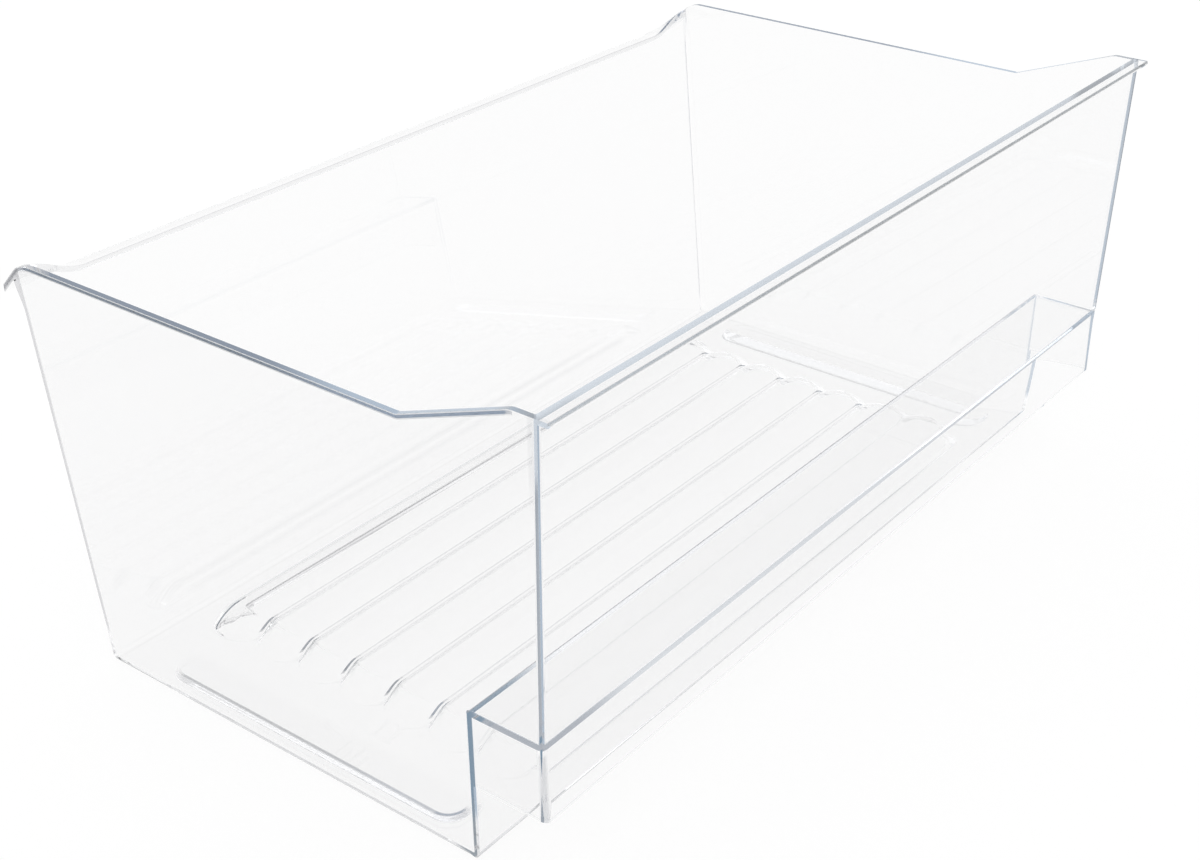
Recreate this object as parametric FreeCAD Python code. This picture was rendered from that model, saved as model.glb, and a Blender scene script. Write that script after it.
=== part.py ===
import FreeCAD, Part
import math
import os

# A clear crisper drawer, moulded in one piece. Its natural sections are separate solids that
# meet face to face. Millimetres: +X to the right seen from the front, +Y to the back, +Z up.
# The outlines below measure Y from the front face at the finger ledge; at the end everything
# moves so that the origin is under the middle of the drawer, at the floor's underside.

# Wall thicknesses
wall = 2.5
floor_thickness = 2.5

# Width across the end walls' outer faces, and heights above the floor's underside
foot_width = 457.0
top_width = 466.5
front_height = 206.0
end_height = 187.2
back_height = 175.0

# Front: a wall on a finger ledge, with a skirt that hangs from the ledge in front of the
# lower front wall and leaves a channel for the fingers
front_lean = 2.1
ledge_height = 71.7
skirt_height = 37.5
skirt_flare = 1.1
channel_depth = 34.0
flange_thickness = 2.0
flange_reach = 5.0

# Back wall: its foot behind the front face, and its lean in degrees
back_depth = 246.8
back_lean = 6.8

# The end walls' top: level, up a straight ramp to the front wall, and down a shoulder at the back
ramp_foot = 60.2
ramp_head = 9.6
ramp_foot_radius = 4.5
ramp_head_radius = 8.5
shoulder_start = 257.0
shoulder_radius = 15.0
shoulder_angle = 45.0

# Lip along the top of the back wall
lip_reach = 8.2
lip_drop = 2.0
lip_thickness = 2.5
lip_rise_gap = 33.5

# Roundings, and the flat land between a rounding and the end of a section
corner_radius = 3.0
foot_radius = 1.2
land = 1.0

# Ribbed platform in the floor
rib_pitch = 25.5
rib_height = 3.0
platform_rise = 4.5
rib_end_slope = 7.0
rib_front_gap = 16.0
rib_back_gap = 10.0
rib_end_gap = 39.8

# Raised pads beside the ribs
pad_rise = 2.0
pad_width = 23.0
pad_slope = 9.0
pad_edge = 1.0
pad_wall_gap = 5.0
pad_back_gap = 27.0
pad_corner = 10.0

# Cutting shapes reach this far past what they cut
margin = 20.0


def half_width(z, inset=0.0):
    """Half the width between the end walls' outer faces, less an inset on each side."""
    return (foot_width + (top_width - foot_width) * z / front_height) / 2 - inset


def front_y(z):
    """Outer face of the front wall above the ledge, and of the skirt below it."""
    if z >= ledge_height:
        return -front_lean * (z - ledge_height) / (front_height - ledge_height)
    return -skirt_flare * (ledge_height - z) / (ledge_height - skirt_height)


def back_y(z):
    """Outer face of the back wall."""
    return back_depth + z * math.tan(math.radians(back_lean))


slanted_wall = wall / math.cos(math.radians(back_lean))
inner_front_foot = channel_depth + wall
inner_back_foot = back_y(floor_thickness) - slanted_wall
wide = top_width / 2 + margin
high = front_height + margin
lip_tip = back_y(back_height) + lip_reach
front_tip = front_y(front_height) - flange_reach
middle_y = (front_tip + lip_tip) / 2


def prism_x(outline, x0=-wide, x1=wide):
    """A straight-sided outline of (y, z) points, carried along X."""
    corners = [FreeCAD.Vector(x0, y, z) for y, z in outline]
    return Part.Face(Part.makePolygon(corners + corners[:1])).extrude(FreeCAD.Vector(x1 - x0, 0, 0))


def prism_y(outline, y0, y1):
    """A straight-sided outline of (x, z) points, carried along Y."""
    corners = [FreeCAD.Vector(x, y0, z) for x, z in outline]
    return Part.Face(Part.makePolygon(corners + corners[:1])).extrude(FreeCAD.Vector(0, y1 - y0, 0))


def box(x0, x1, y0, y1, z0, z1):
    return Part.makeBox(x1 - x0, y1 - y0, z1 - z0, FreeCAD.Vector(x0, y0, z0))


def between_ends(inset):
    """The space between the end walls' outer faces, drawn in by the inset."""
    low = half_width(-margin, inset)
    top = half_width(high, inset)
    outline = [(-low, -margin), (low, -margin), (top, high), (-top, high)]
    return prism_y(outline, -margin - flange_reach, lip_tip + margin)


def beyond_end(side, inset):
    """The space outside one end plane, which stands at the inset from the wall's outer face."""
    low = half_width(-margin, inset)
    top = half_width(high, inset)
    outline = [(side * low, -margin), (side * wide, -margin), (side * wide, high), (side * top, high)]
    return prism_y(outline, -margin - flange_reach, lip_tip + margin)


def rounded(shape, radius, chosen):
    """Round the edges that the test picks, by their middle point and direction."""
    edges = []
    for edge in shape.Edges:
        middle = edge.CenterOfMass
        direction = edge.tangentAt(edge.FirstParameter)
        if chosen(middle, direction):
            edges.append(edge)
    return shape.makeFillet(radius, edges)


def outer_tub(top):
    """The outside behind the skirt, as a solid block up to a height."""
    tub = prism_x([(channel_depth, 0), (back_y(0), 0), (back_y(top), top), (channel_depth, top)])
    return rounded(tub.common(between_ends(0)), corner_radius,
                   lambda p, d: p.z < land or (abs(d.z) > 0.9 and p.y > channel_depth + margin))


def outer_body():
    """The drawer's outside as one solid block, with the skirt filled."""
    tub = outer_tub(front_height)
    front = prism_x([(front_y(front_height), front_height), (front_y(ledge_height), ledge_height),
                     (front_y(skirt_height), skirt_height), (channel_depth + corner_radius, skirt_height),
                     (channel_depth + corner_radius, front_height)]).common(between_ends(0))
    return tub.fuse(front).removeSplitter()


def cavity():
    """The inside of the drawer as two blocks: down to the floor, and above the ledge."""
    top = front_height + margin
    deep = prism_x([(inner_front_foot, floor_thickness), (inner_back_foot, floor_thickness),
                    (back_y(top) - slanted_wall, top), (inner_front_foot, top)])
    deep = rounded(deep.common(between_ends(wall)), foot_radius,
                   lambda p, d: p.z < floor_thickness + land or abs(d.z) > 0.9)
    shelf_back = inner_front_foot + foot_radius + land
    shelf = prism_x([(front_y(ledge_height) + wall, ledge_height), (shelf_back, ledge_height),
                     (shelf_back, top), (front_y(top) + wall, top)])
    shelf = rounded(shelf.common(between_ends(wall)), foot_radius,
                    lambda p, d: p.y < inner_front_foot and (p.z < ledge_height + land or abs(d.z) > 0.9)
                    or p.z < ledge_height + land and abs(d.y) > 0.9)
    return [deep, shelf]


def channel():
    """The finger channel under the ledge, open downwards."""
    top = ledge_height - wall
    outline = [(front_y(top) + wall, top), (channel_depth, top), (channel_depth, skirt_height - margin),
               (front_y(skirt_height - margin) + wall, skirt_height - margin)]
    return prism_x(outline).common(between_ends(wall))


outside = outer_body()
shell = outside
for space in cavity() + [channel()]:
    shell = shell.cut(space)

# The tub's outside carried up past everything, which the lip lies against
tall_tub = outer_tub(high)

# The planes that part the sections stand a land's width clear of the roundings
end_cut = wall + foot_radius + land
floor_cut = floor_thickness + foot_radius + land
ledge_cut_top = ledge_height + foot_radius + land
ledge_cut_low = ledge_height - wall - land
front_cut = inner_front_foot + land
rib_end = foot_width / 2 - wall - rib_end_gap
rib_front = inner_front_foot + rib_front_gap
rib_count = int((inner_back_foot - rib_back_gap - rib_front) / rib_pitch)
rib_back = rib_front + rib_count * rib_pitch
inside_ends = between_ends(end_cut)


def front_flange():
    """The flange along the top of the front wall, with the wall's top edge in it."""
    low = front_height - flange_thickness
    outline = [(front_tip, low), (front_y(low) + wall, low), (front_y(front_height) + wall, front_height),
               (front_tip, front_height)]
    return prism_x(outline, -top_width / 2, top_width / 2)


def front_wall():
    region = box(-wide, wide, -margin, front_cut, ledge_cut_top, front_height - flange_thickness)
    return shell.common(region).common(inside_ends)


def grip_ledge():
    region = box(-wide, wide, -margin, front_cut, ledge_cut_low, ledge_cut_top)
    return shell.common(region).common(inside_ends)


def grip_skirt():
    region = box(-wide, wide, -margin, channel_depth / 2, 0, ledge_cut_low)
    return shell.common(region).common(inside_ends)


def skirt_end(side):
    region = box(-wide, wide, -margin, channel_depth, 0, ledge_cut_top)
    return shell.common(region).common(beyond_end(side, end_cut))


def lower_front_wall():
    region = box(-wide, wide, channel_depth / 2, front_cut, floor_cut, ledge_cut_low)
    return shell.common(region).common(inside_ends)


def shoulder_line(y):
    """Height of the straight fall behind the end walls' round shoulder."""
    angle = math.radians(shoulder_angle)
    end_y = shoulder_start + shoulder_radius * math.sin(angle)
    end_z = end_height - shoulder_radius * (1 - math.cos(angle))
    return end_z - (y - end_y) * math.tan(angle)


def back_end_height():
    """Where the straight fall of the shoulder meets the back wall's outer face."""
    slope = math.tan(math.radians(shoulder_angle))
    lean = math.tan(math.radians(back_lean))
    return (shoulder_line(0) - back_depth * slope) / (1 + lean * slope)


def corner_arc(before, corner, after, radius):
    """The arc that rounds the corner of two straight lines."""
    back = (before - corner).normalize()
    ahead = (after - corner).normalize()
    half = back.getAngle(ahead) / 2
    reach = radius / math.tan(half)
    middle = (back + ahead).normalize() * (radius / math.sin(half) - radius)
    return Part.Arc(corner + back * reach, corner + middle, corner + ahead * reach)


def end_wall(side):
    """An end wall under its level top, ramp and shoulder, without the skirt's end."""
    angle = math.radians(shoulder_angle)
    half = angle / 2
    arc_start = FreeCAD.Vector(0, shoulder_start, end_height)
    arc_middle = FreeCAD.Vector(0, shoulder_start + shoulder_radius * math.sin(half),
                                end_height - shoulder_radius * (1 - math.cos(half)))
    arc_end = FreeCAD.Vector(0, shoulder_start + shoulder_radius * math.sin(angle),
                             end_height - shoulder_radius * (1 - math.cos(angle)))
    tail = FreeCAD.Vector(0, lip_tip + margin, shoulder_line(lip_tip + margin))
    front_top = FreeCAD.Vector(0, -margin, front_height)
    head = FreeCAD.Vector(0, ramp_head, front_height)
    foot = FreeCAD.Vector(0, ramp_foot, end_height)
    head_arc = corner_arc(front_top, head, foot, ramp_head_radius)
    foot_arc = corner_arc(head, foot, arc_start, ramp_foot_radius)
    straight = [tail, FreeCAD.Vector(0, lip_tip + margin, -margin), FreeCAD.Vector(0, channel_depth, -margin),
                FreeCAD.Vector(0, channel_depth, ledge_cut_top),
                FreeCAD.Vector(0, -margin, ledge_cut_top), front_top, head_arc.StartPoint]
    edges = [Part.Arc(arc_start, arc_middle, arc_end).toShape(), Part.LineSegment(arc_end, tail).toShape()]
    edges += [Part.LineSegment(a, b).toShape() for a, b in zip(straight, straight[1:])]
    edges += [head_arc.toShape(), Part.LineSegment(head_arc.EndPoint, foot_arc.StartPoint).toShape(),
              foot_arc.toShape(), Part.LineSegment(foot_arc.EndPoint, arc_start).toShape()]
    region = Part.Face(Part.Wire(edges)).extrude(FreeCAD.Vector(side * wide, 0, 0))
    return shell.common(region).common(beyond_end(side, end_cut)).cut(front_flange())


def rim_share(x):
    """How far the back rim has risen at x, from 0 in the middle to 1 at the end walls."""
    start = top_width / 2 - lip_rise_gap
    share = min(max((abs(x) - start) / (lip_rise_gap - wall), 0.0), 1.0)
    return share * share * (3 - 2 * share)


def rim_height(x):
    return back_height + (back_end_height() - back_height) * rim_share(x)


def rise_stations(steps):
    """Evenly spaced places along one end's rise of the back rim."""
    start = top_width / 2 - lip_rise_gap
    end = top_width / 2 - wall
    return [start + (end - start) * i / steps for i in range(steps + 1)]


def back_wall():
    """The back wall, whose top edge rises in an S-curve towards each end."""
    places = rise_stations(6)
    rise = [FreeCAD.Vector(x, 0, rim_height(x)) for x in places]
    level = FreeCAD.Vector(1, 0, 0)
    right = Part.BSplineCurve()
    right.interpolate(Points=rise, InitialTangent=level, FinalTangent=level)
    left = Part.BSplineCurve()
    mirrored = [FreeCAD.Vector(-p.x, 0, p.z) for p in reversed(rise)]
    left.interpolate(Points=mirrored, InitialTangent=level, FinalTangent=level)
    outer_right = FreeCAD.Vector(wide, 0, rise[-1].z)
    outer_left = FreeCAD.Vector(-wide, 0, rise[-1].z)
    low_right = FreeCAD.Vector(wide, 0, floor_cut)
    low_left = FreeCAD.Vector(-wide, 0, floor_cut)
    edges = [left.toShape(), Part.LineSegment(mirrored[-1], rise[0]).toShape(), right.toShape()]
    corners = [rise[-1], outer_right, low_right, low_left, outer_left, mirrored[0]]
    edges += [Part.LineSegment(a, b).toShape() for a, b in zip(corners, corners[1:])]
    outline = Part.Face(Part.Wire(edges))
    outline.translate(FreeCAD.Vector(0, front_cut + margin, 0))
    return shell.common(outline.extrude(FreeCAD.Vector(0, lip_tip, 0))).common(inside_ends)


def lip_section(x):
    """The lip's cross-section at x: a curved top, an upright tip and a parallel underside."""
    share = rim_share(x)
    fall = math.radians(shoulder_angle) * share
    depth = lip_thickness / math.cos(fall)
    root_y = back_y(back_height) - slanted_wall
    root_z = rim_height(x) + (back_y(rim_height(x)) - root_y) * math.tan(fall)
    tip_z = (back_height - lip_drop) * (1 - share) + shoulder_line(lip_tip) * share
    bend_y = root_y + (lip_tip - root_y) / 2
    bend_z = root_z - (bend_y - root_y) * math.tan(fall)
    top = [FreeCAD.Vector(x, root_y, root_z), FreeCAD.Vector(x, bend_y, bend_z), FreeCAD.Vector(x, lip_tip, tip_z)]
    low = [FreeCAD.Vector(p.x, p.y, p.z - depth) for p in reversed(top)]
    edges = []
    for poles in (top, low):
        curve = Part.BezierCurve()
        curve.setPoles(poles)
        edges.append(curve.toShape())
    edges.insert(1, Part.LineSegment(top[-1], low[0]).toShape())
    edges.append(Part.LineSegment(low[-1], top[0]).toShape())
    return Part.Wire(edges)


def back_lip():
    """The lip's straight middle length."""
    start = top_width / 2 - lip_rise_gap
    return Part.Face(lip_section(-start)).extrude(FreeCAD.Vector(2 * start, 0, 0)).cut(tall_tub)


def back_lip_end(side):
    """The lip's end, which rises and turns down into the end wall's shoulder."""
    stations = [side * x for x in rise_stations(4)]
    rising = Part.makeLoft([lip_section(x) for x in stations], True, False)
    flush = Part.Face(lip_section(stations[-1])).extrude(FreeCAD.Vector(side * margin, 0, 0))
    return rising.fuse(flush).common(between_ends(0)).cut(tall_tub).removeSplitter()


def floor_front():
    region = box(-wide, wide, 0, rib_front, -margin, floor_cut)
    return shell.common(region).common(inside_ends)


def floor_back():
    region = box(-wide, wide, rib_back, lip_tip, -margin, floor_cut)
    return shell.common(region).common(inside_ends)


def pad_form(side):
    """One pad's raised form: a gentle slope on the inner side and a steep outer edge."""
    outer = foot_width / 2 - wall - pad_wall_gap
    inner = outer - pad_width
    base = floor_thickness
    outline = [(side * inner, base), (side * (inner + pad_slope), base + pad_rise),
               (side * (outer - pad_edge), base + pad_rise), (side * outer, base)]
    y0 = rib_front
    y1 = inner_back_foot - pad_back_gap
    plan = box(min(side * inner, side * outer), max(side * inner, side * outer), y0, y1, -margin, margin)
    plan = rounded(plan, pad_corner, lambda p, d: abs(d.z) > 0.9)
    return prism_y(outline, y0, y1).common(plan)


def rail_pad(side):
    """The floor between the ribs and an end wall, with its raised pad."""
    strip = box(*sorted((side * rib_end, side * wide)), rib_front, rib_back, -margin, floor_cut)
    plate = shell.common(strip).common(inside_ends)
    return plate.fuse(pad_form(side)).removeSplitter()


def rib_form(y0, lowered, inset, front_inset, back_inset):
    """One rib's raised form: an arched bar over a full pitch, with round ends that narrow upwards."""
    half = rib_pitch / 2
    valley = floor_thickness + platform_rise - lowered
    crest = valley + rib_height
    low = -margin
    a, b = FreeCAD.Vector(-wide, y0 - half, valley), FreeCAD.Vector(-wide, y0 + half, valley)
    c, d = FreeCAD.Vector(-wide, y0 + half, low), FreeCAD.Vector(-wide, y0 - half, low)
    edges = [Part.Arc(a, FreeCAD.Vector(-wide, y0, crest), b).toShape()]
    edges += [Part.LineSegment(p, q).toShape() for p, q in ((b, c), (c, d), (d, a))]
    under_arch = Part.Face(Part.Wire(edges)).extrude(FreeCAD.Vector(2 * wide, 0, 0))
    straight = rib_end - half
    plan = box(inset - straight, straight - inset, y0 - half + front_inset, y0 + half - back_inset, low, margin)
    plan = plan.fuse(box(-straight, straight, y0 - half + inset, y0 + half - inset, low, margin))
    slope = rib_end_slope / (platform_rise + rib_height)
    foot = floor_thickness - lowered
    for side in (-1, 1):
        wide_end = half - inset + slope * (foot - low)
        narrow_end = half - inset - slope * (crest + land - foot)
        cone = Part.makeCone(wide_end, narrow_end, crest + land - low, FreeCAD.Vector(side * straight, y0, low))
        plan = plan.fuse(cone)
    return plan.common(under_arch)


def floor_rib(index):
    """One pitch of the ribbed platform, hollow underneath, with the flat floor at its ends."""
    y0 = rib_front + (index + 0.5) * rib_pitch
    half = rib_pitch / 2
    front_inset = wall if index == 0 else 0
    back_inset = wall if index == rib_count - 1 else 0
    plate = box(-rib_end, rib_end, y0 - half, y0 + half, 0, floor_thickness)
    raised = rib_form(y0, 0, 0, 0, 0).common(box(-rib_end, rib_end, y0 - half, y0 + half, 0, margin))
    hollow = rib_form(y0, floor_thickness, wall, front_inset, back_inset)
    return plate.fuse(raised).cut(hollow).removeSplitter()


pieces = {
    "front_wall": front_wall(),
    "front_flange": front_flange(),
    "grip_ledge": grip_ledge(),
    "grip_skirt": grip_skirt(),
    "lower_front_wall": lower_front_wall(),
    "back_wall": back_wall(),
    "back_lip": back_lip(),
    "floor_front": floor_front(),
    "floor_back": floor_back(),
}
for side, name in ((-1, "left"), (1, "right")):
    pieces["end_wall_" + name] = end_wall(side)
    pieces["skirt_end_" + name] = skirt_end(side)
    pieces["back_lip_end_" + name] = back_lip_end(side)
    pieces["rail_pad_" + name] = rail_pad(side)
for index in range(rib_count):
    pieces["floor_rib_%d" % (index + 1)] = floor_rib(index)

os.makedirs("parts", exist_ok=True)
for name, shape in pieces.items():
    shape.translate(FreeCAD.Vector(0, -middle_y, 0))
    shape.exportStep("parts/%s.step" % name)
    print("%-20s solids %d  valid %s  volume %.0f" % (name, len(shape.Solids), shape.isValid(), shape.Volume))
print("middle", round(middle_y, 3), "depth", round(lip_tip - front_tip, 3), "ribs", rib_count)
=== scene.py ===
import math

import bmesh
import bpy
import numpy as np
from mathutils import Matrix, Vector
from mathutils.geometry import delaunay_2d_cdt


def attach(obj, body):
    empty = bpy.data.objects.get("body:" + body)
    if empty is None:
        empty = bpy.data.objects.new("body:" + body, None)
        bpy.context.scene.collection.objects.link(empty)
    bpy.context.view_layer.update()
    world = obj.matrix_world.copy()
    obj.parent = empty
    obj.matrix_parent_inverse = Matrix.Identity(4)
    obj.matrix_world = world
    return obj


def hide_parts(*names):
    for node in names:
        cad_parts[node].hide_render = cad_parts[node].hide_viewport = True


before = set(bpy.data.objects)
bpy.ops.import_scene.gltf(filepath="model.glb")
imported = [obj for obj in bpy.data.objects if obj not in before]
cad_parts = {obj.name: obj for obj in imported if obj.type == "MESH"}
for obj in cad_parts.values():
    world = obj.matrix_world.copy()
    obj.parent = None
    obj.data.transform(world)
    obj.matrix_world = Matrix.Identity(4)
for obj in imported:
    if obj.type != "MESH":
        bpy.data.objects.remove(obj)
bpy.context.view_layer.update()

# The drawer's sizes in millimetres. Y is measured from the front face at the ledge here,
# and moved to the row frame when the mesh is written
drawer = {
    "wall": 2.5, "floor": 2.5,
    "footWidth": 457.0, "topWidth": 466.5,
    "frontHeight": 206.0, "endHeight": 187.2, "backHeight": 175.0,
    "frontLean": 2.1,      # how far the front leans out between the ledge and the top
    "ledgeHeight": 71.7, "skirtHeight": 37.5, "channelDepth": 34.0,
    "skirtFlare": 1.1,     # how far the skirt's lower edge stands out
    "flangeThickness": 2.0, "flangeReach": 5.0,
    "backDepth": 246.8, "backLean": math.radians(6.8),
    "rampFoot": 60.2, "rampHead": 9.6, "rampFootRound": 4.5, "rampHeadRound": 8.5,
    "shoulderStart": 257.0, "shoulderRound": 15.0, "shoulderAngle": math.radians(45),
    "lipReach": 8.2, "lipThickness": 2.5,
    "lipDrop": 2.0,        # how far the lip's tip lies below the back wall's top
    "riseStart": 199.75,   # how far out from the middle the back rim begins to rise
    "cove": 0.6, "footRound": 3.5, "ledgeRound": 2.0,
    "cornerFade": 0.08,    # share of the back corner's height over which its rounding ends under the lip
}

lipTip = drawer["backDepth"] + drawer["backHeight"] * math.tan(drawer["backLean"]) + drawer["lipReach"]
frontTip = -drawer["frontLean"] - drawer["flangeReach"]
middleY = (lipTip + frontTip) / 2


# Half the width between the end planes: linear in the height, less an inset
def halfWidth(z, inset=0.0):
    spread = drawer["topWidth"] - drawer["footWidth"]
    return (drawer["footWidth"] + spread * z / drawer["frontHeight"]) / 2 - inset


# Front face: leans out above the ledge, and flares slightly along the skirt below it
def frontY(z):
    z = np.asarray(z, float)
    ledge = drawer["ledgeHeight"]
    above = -drawer["frontLean"] * (z - ledge) / (drawer["frontHeight"] - ledge)
    below = -drawer["skirtFlare"] * (ledge - z) / (ledge - drawer["skirtHeight"])
    return np.where(z >= ledge, above, below)


# Back wall's outer face: a plane at the back's lean
def backY(z):
    return drawer["backDepth"] + np.asarray(z, float) * math.tan(drawer["backLean"])


# Back wall's inner face: the outer one, moved in by the wall measured level
def backInnerY(z):
    return backY(z) - drawer["wall"] / math.cos(drawer["backLean"])


# Smoothstep: 3 t squared less 2 t cubed, held between 0 and 1
def smooth(t):
    t = np.clip(t, 0.0, 1.0)
    return t * t * (3 - 2 * t)


# A (y, z) path with arcs for corners, and its left-hand normals, which each arc turns evenly from one
# side to the next
def roundedPath(corners, radii, steps=8):
    corners = np.asarray(corners, float)
    sides = np.diff(corners, axis=0)
    sides /= np.linalg.norm(sides, axis=1)[:, None]
    heading = np.unwrap(np.arctan2(sides[:, 1], sides[:, 0]))
    points, angles = [corners[:1]], [heading[:1]]
    for i, radius in enumerate(radii):
        turn = heading[i + 1] - heading[i]
        reach = radius * math.tan(abs(turn) / 2)
        angle = heading[i] + turn * np.linspace(0, 1, steps + 1)
        start = corners[i + 1] - sides[i] * reach
        bend = math.copysign(radius, turn)
        centre = start + bend * np.array([-math.sin(heading[i]), math.cos(heading[i])])
        points.append(centre - bend * np.stack([-np.sin(angle), np.cos(angle)], 1))
        angles.append(angle)
    points.append(corners[-1:])
    angles.append(heading[-1:])
    angles = np.concatenate(angles)
    return np.concatenate(points), np.stack([-np.sin(angles), np.cos(angles)], 1)


# The end walls' top outline: level at the front, down the ramp, level, and down the shoulder to the lip
def endLine():
    slope = math.tan(drawer["shoulderAngle"])
    turn = drawer["shoulderRound"] * math.tan(drawer["shoulderAngle"] / 2)
    shoulder = drawer["shoulderStart"] + turn
    tipZ = drawer["endHeight"] - (lipTip - shoulder) * slope
    corners = [(frontTip, drawer["frontHeight"]), (drawer["rampHead"], drawer["frontHeight"]),
               (drawer["rampFoot"], drawer["endHeight"]), (shoulder, drawer["endHeight"]), (lipTip, tipZ)]
    radii = [drawer["rampHeadRound"], drawer["rampFootRound"], drawer["shoulderRound"]]
    return roundedPath(corners, radii, 10)[0]


topPath = endLine()


# Height of the end walls' top at y, read along the outline
def topLine(y):
    return np.interp(y, topPath[:, 0], topPath[:, 1])


riseEnd = halfWidth(drawer["endHeight"], drawer["wall"] + drawer["cove"])


# How far the back rim has risen at x: 0 in the middle, 1 where the corner's cove begins
def riseShare(x):
    return smooth((np.abs(x) - drawer["riseStart"]) / (riseEnd - drawer["riseStart"]))


# Top surface over the back wall and its lip: a parabola down to the tip, turning into the end outline
def rimTop(x, y):
    root = backInnerY(drawer["backHeight"])
    t = np.clip((y - root) / (lipTip - root), 0, None)
    level = drawer["backHeight"] - drawer["lipDrop"] * t * t
    share = riseShare(x)
    return level * (1 - share) + topLine(y) * share


# Underside of the lip: its top, lowered by the lip's thickness along the fall
def rimUnder(x, y):
    return rimTop(x, y) - drawer["lipThickness"] / np.cos(drawer["shoulderAngle"] * riseShare(x))


# Where a rim surface meets a face of the back wall, by repeated substitution
def meetFace(surface, x, face):
    y = face(np.full_like(x, drawer["backHeight"]))
    for _ in range(12):
        y = face(surface(x, y))
    return y, surface(x, y)


# Collects vertex grids and flat faces, and welds them into one closed mesh
class Mesher:
    def __init__(self):
        self.points = []
        self.faces = []
        self.bands = []
        self.count = 0

    # A grid of vertices, rows by columns, with the strength of the painted shade line on each face
    def grid(self, points, band=0.0):
        rows, columns = points.shape[:2]
        index = np.arange(rows * columns).reshape(rows, columns) + self.count
        quads = np.stack([index[:-1, :-1], index[:-1, 1:], index[1:, 1:], index[1:, :-1]], -1)
        self.points.append(points.reshape(-1, 3))
        self.faces += quads.reshape(-1, 4).tolist()
        self.bands += np.broadcast_to(band, (rows - 1, columns - 1)).ravel().tolist()
        self.count += rows * columns

    # One flat face round a loop of points
    def flat(self, loop):
        loop = np.asarray(loop, float)
        step = np.linalg.norm(loop - np.roll(loop, 1, axis=0), axis=1)
        loop = loop[step > 1e-6]
        self.points.append(loop)
        self.faces.append((np.arange(len(loop)) + self.count).tolist())
        self.bands.append(0.0)
        self.count += len(loop)

    # A flat level region with holes, triangulated between its boundary loops
    def level(self, outer, holes, z):
        loops = [np.asarray(loop, float)[:, :2] for loop in [outer] + holes]
        points = np.concatenate(loops)
        edges, start = [], 0
        for loop in loops:
            index = np.arange(len(loop)) + start
            edges += np.stack([index, np.roll(index, -1)], 1).tolist()
            start += len(loop)
        found = delaunay_2d_cdt([Vector(p) for p in points], edges, [list(range(len(loops[0])))], 1, 1e-7)
        places = np.array([tuple(p) for p in found[0]])
        triangles = np.array(found[2])
        middle = places[triangles].mean(axis=1)
        kept = np.ones(len(triangles), bool)
        for loop in loops[1:]:
            kept &= ~inside(middle, loop)
        self.points.append(np.column_stack([places, np.full(len(places), z)]))
        self.faces += (triangles[kept] + self.count).tolist()
        self.bands += [0.0] * int(kept.sum())
        self.count += len(places)

    # Moves it all to the row frame in metres, merges the doubles and makes the object
    def write(self, name):
        points = np.concatenate(self.points)
        points = (points - np.array([0, middleY, 0])) / 1000
        mesh = bpy.data.meshes.new(name)
        mesh.from_pydata(points.tolist(), [], self.faces)
        # Each face keeps the strength of its painted shade line
        mesh.attributes.new("shadeLineStrength", "FLOAT", "FACE").data.foreach_set("value", self.bands)
        work = bmesh.new()
        work.from_mesh(mesh)
        bmesh.ops.remove_doubles(work, verts=work.verts, dist=3e-6)
        bmesh.ops.dissolve_degenerate(work, edges=work.edges, dist=1e-6)
        bmesh.ops.recalc_face_normals(work, faces=work.faces)
        loose = sum(1 for edge in work.edges if not edge.is_manifold)
        print(name, "faces", len(work.faces), "open edges", loose)
        work.to_mesh(mesh)
        work.free()
        mesh.shade_smooth()
        piece = bpy.data.objects.new(name, mesh)
        bpy.context.scene.collection.objects.link(piece)
        return piece


# Which points lie inside a closed loop: an odd number of its sides cross the line to the right
def inside(points, loop):
    x, y = points[:, 0, None], points[:, 1, None]
    a, b = loop, np.roll(loop, -1, axis=0)
    spans = (a[None, :, 1] > y) != (b[None, :, 1] > y)
    rise = b[None, :, 1] - a[None, :, 1]
    rise = np.where(np.abs(rise) < 1e-12, 1e-12, rise)
    cross = a[None, :, 0] + (y - a[None, :, 1]) * (b[None, :, 0] - a[None, :, 0]) / rise
    return (spans & (cross > x)).sum(axis=1) % 2 == 1


# Points at x (rows by columns) along a (y, z) path (rows)
def place(x, path):
    x = np.asarray(x, float)
    y = np.broadcast_to(path[:, 0:1], x.shape)
    z = np.broadcast_to(path[:, 1:2], x.shape)
    return np.stack([x, y, z], -1)


# Moves (y, z) points along a direction until z is the wanted height at their y
def slide(point, direction, height, rounds=8):
    for _ in range(rounds):
        gap = (height(point[..., 0]) - point[..., 1]) / direction[1]
        point = point + gap[..., None] * direction
    return point


# Stations across the drawer, as shares of the half width at the back corners' coves, and the angles of
# a rounding's rows
riseStations = np.linspace(drawer["riseStart"] / riseEnd, 1, 17)
stations = np.concatenate([-riseStations[::-1], [-0.6, -0.3, 0.0, 0.3, 0.6], riseStations])
turnSteps = np.linspace(0, math.pi / 2, 9)


# The cavity's outline from the front rim down the steps, along the floor and up the back wall
def innerOutline():
    front = float(frontY(drawer["ledgeHeight"])) + drawer["wall"]
    frontTop = float(frontY(drawer["frontHeight"])) + drawer["wall"]
    deep = drawer["channelDepth"] + drawer["wall"]
    corners = [(frontTop, drawer["frontHeight"]), (front, drawer["ledgeHeight"]),
               (deep, drawer["ledgeHeight"]), (deep, drawer["floor"]),
               (float(backInnerY(drawer["floor"])), drawer["floor"]),
               (float(backInnerY(drawer["backHeight"])), drawer["backHeight"])]
    return roundedPath(corners, [drawer["cove"], drawer["ledgeRound"], drawer["cove"], drawer["cove"]])


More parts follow.
